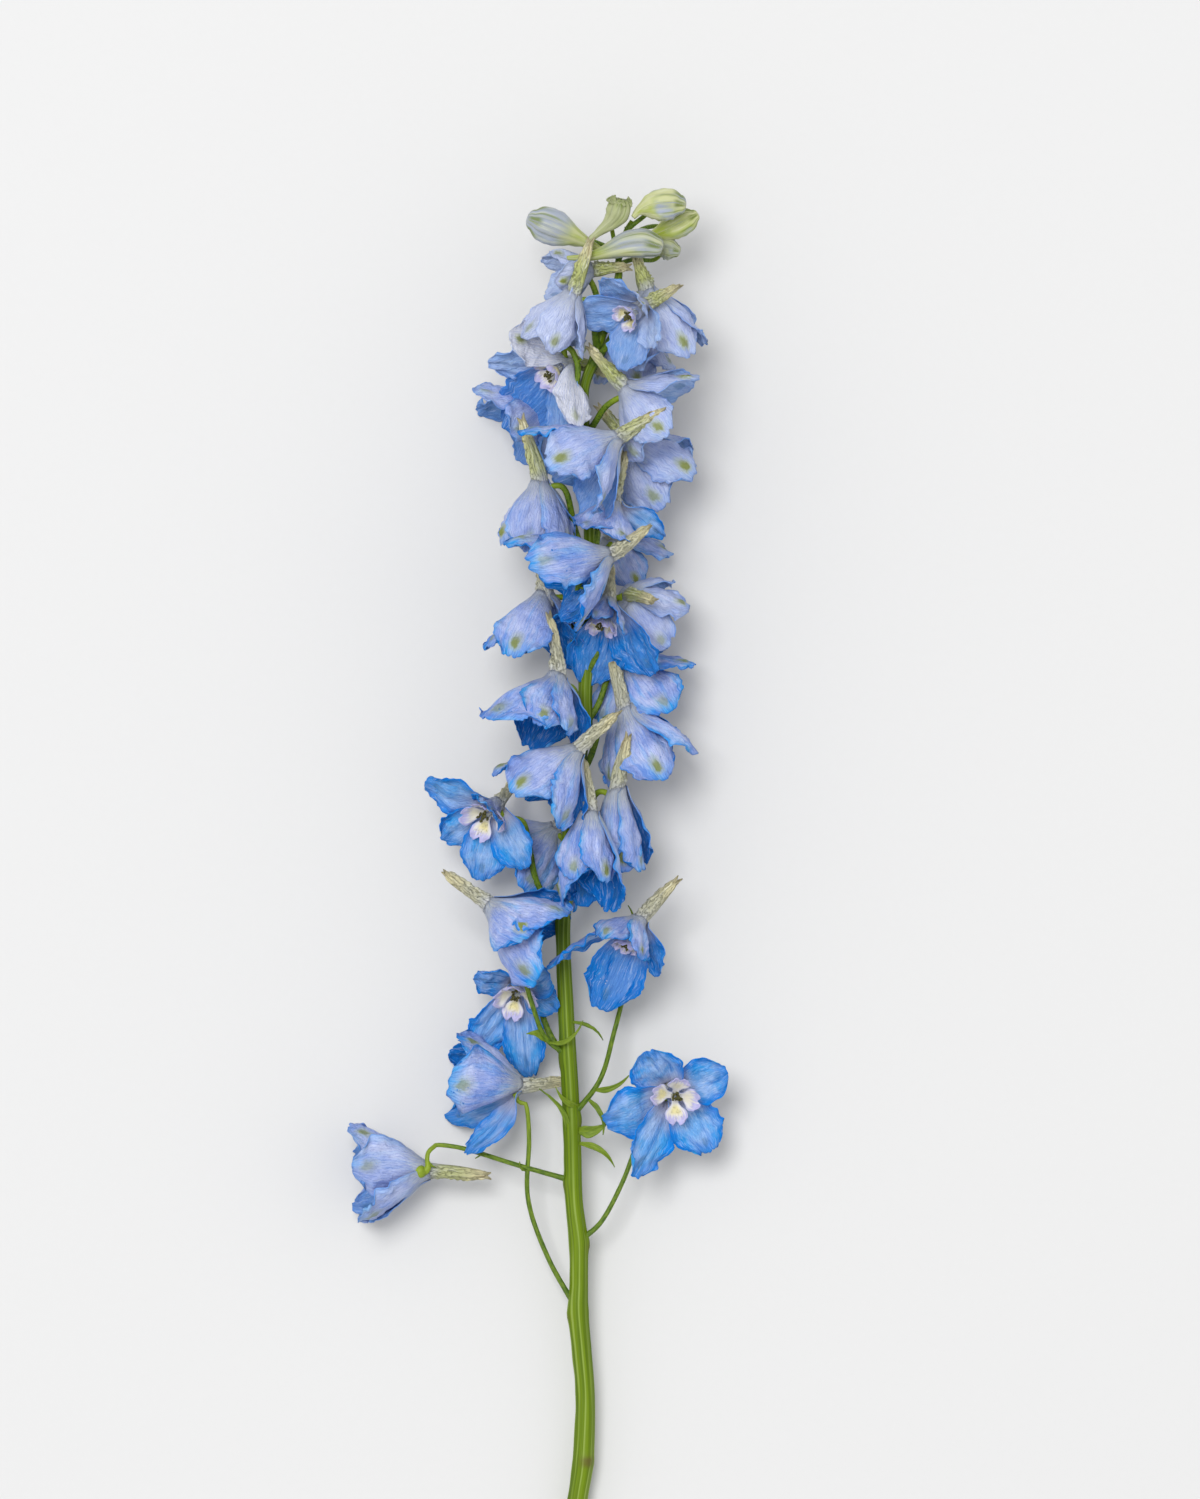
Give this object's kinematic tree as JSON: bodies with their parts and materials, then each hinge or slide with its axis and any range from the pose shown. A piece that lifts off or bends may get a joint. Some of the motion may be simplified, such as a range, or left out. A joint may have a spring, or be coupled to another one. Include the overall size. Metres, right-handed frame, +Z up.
{
  "type": "delphinium flower spike",
  "caption": "Cut delphinium flower spike lying flat: a bent green stem, spurred blue florets on thin stalks and pale young buds at the tip, for arranging and display",
  "frame": {"origin": "the middle of the bounding box in plan, at the level of the table that the spike lies on", "axes": "+Y runs along the spike from the cut end of the stem to the buds, +Z is up from the table toward the viewer of the picture, and +X is to the right as seen from above"},
  "size_m": [0.1232, 0.475, 0.073],
  "materials": {
    "stem_green": "satin, fresh green stem, hollow in life",
    "sepal_blue": "matt, soft veined sepals and spur",
    "bee_white": "matt, hairy inner petals and stamens",
    "bud_pale": "satin, closed fleshy bud"
  },
  "bodies": {
    "root": {"bee_03": "bee_white", "bee_05": "bee_white", "bee_06": "bee_white", "bee_07": "bee_white", "bee_08": "bee_white", "bee_09": "bee_white", "bee_10": "bee_white", "bee_12": "bee_white", "bee_14": "bee_white", "bee_15": "bee_white", "bee_17": "bee_white", "bee_18": "bee_white", "bee_19": "bee_white", "bee_20": "bee_white", "bee_21": "bee_white", "bee_23": "bee_white", "bee_25": "bee_white", "bee_26": "bee_white", "bee_27": "bee_white", "bee_28": "bee_white", "bee_29": "bee_white", "bee_30": "bee_white", "bud_1": "bud_pale", "bud_2": "bud_pale", "bud_3": "bud_pale", "bud_4": "bud_pale", "bud_5": "bud_pale", "bud_6": "bud_pale", "floret_01": "sepal_blue", "floret_02": "sepal_blue", "floret_03": "sepal_blue", "floret_04": "sepal_blue", "floret_05": "sepal_blue", "floret_06": "sepal_blue", "floret_07": "sepal_blue", "floret_08": "sepal_blue", "floret_09": "sepal_blue", "floret_10": "sepal_blue", "floret_11": "sepal_blue", "floret_12": "sepal_blue", "floret_13": "sepal_blue", "floret_14": "sepal_blue", "floret_15": "sepal_blue", "floret_16": "sepal_blue", "floret_17": "sepal_blue", "floret_18": "sepal_blue", "floret_19": "sepal_blue", "floret_20": "sepal_blue", "floret_21": "sepal_blue", "floret_22": "sepal_blue", "floret_23": "sepal_blue", "floret_24": "sepal_blue", "floret_25": "sepal_blue", "floret_26": "sepal_blue", "floret_27": "sepal_blue", "floret_28": "sepal_blue", "floret_29": "sepal_blue", "floret_30": "sepal_blue", "floret_31": "sepal_blue", "stem": "stem_green"}
  },
  "joints": []
}
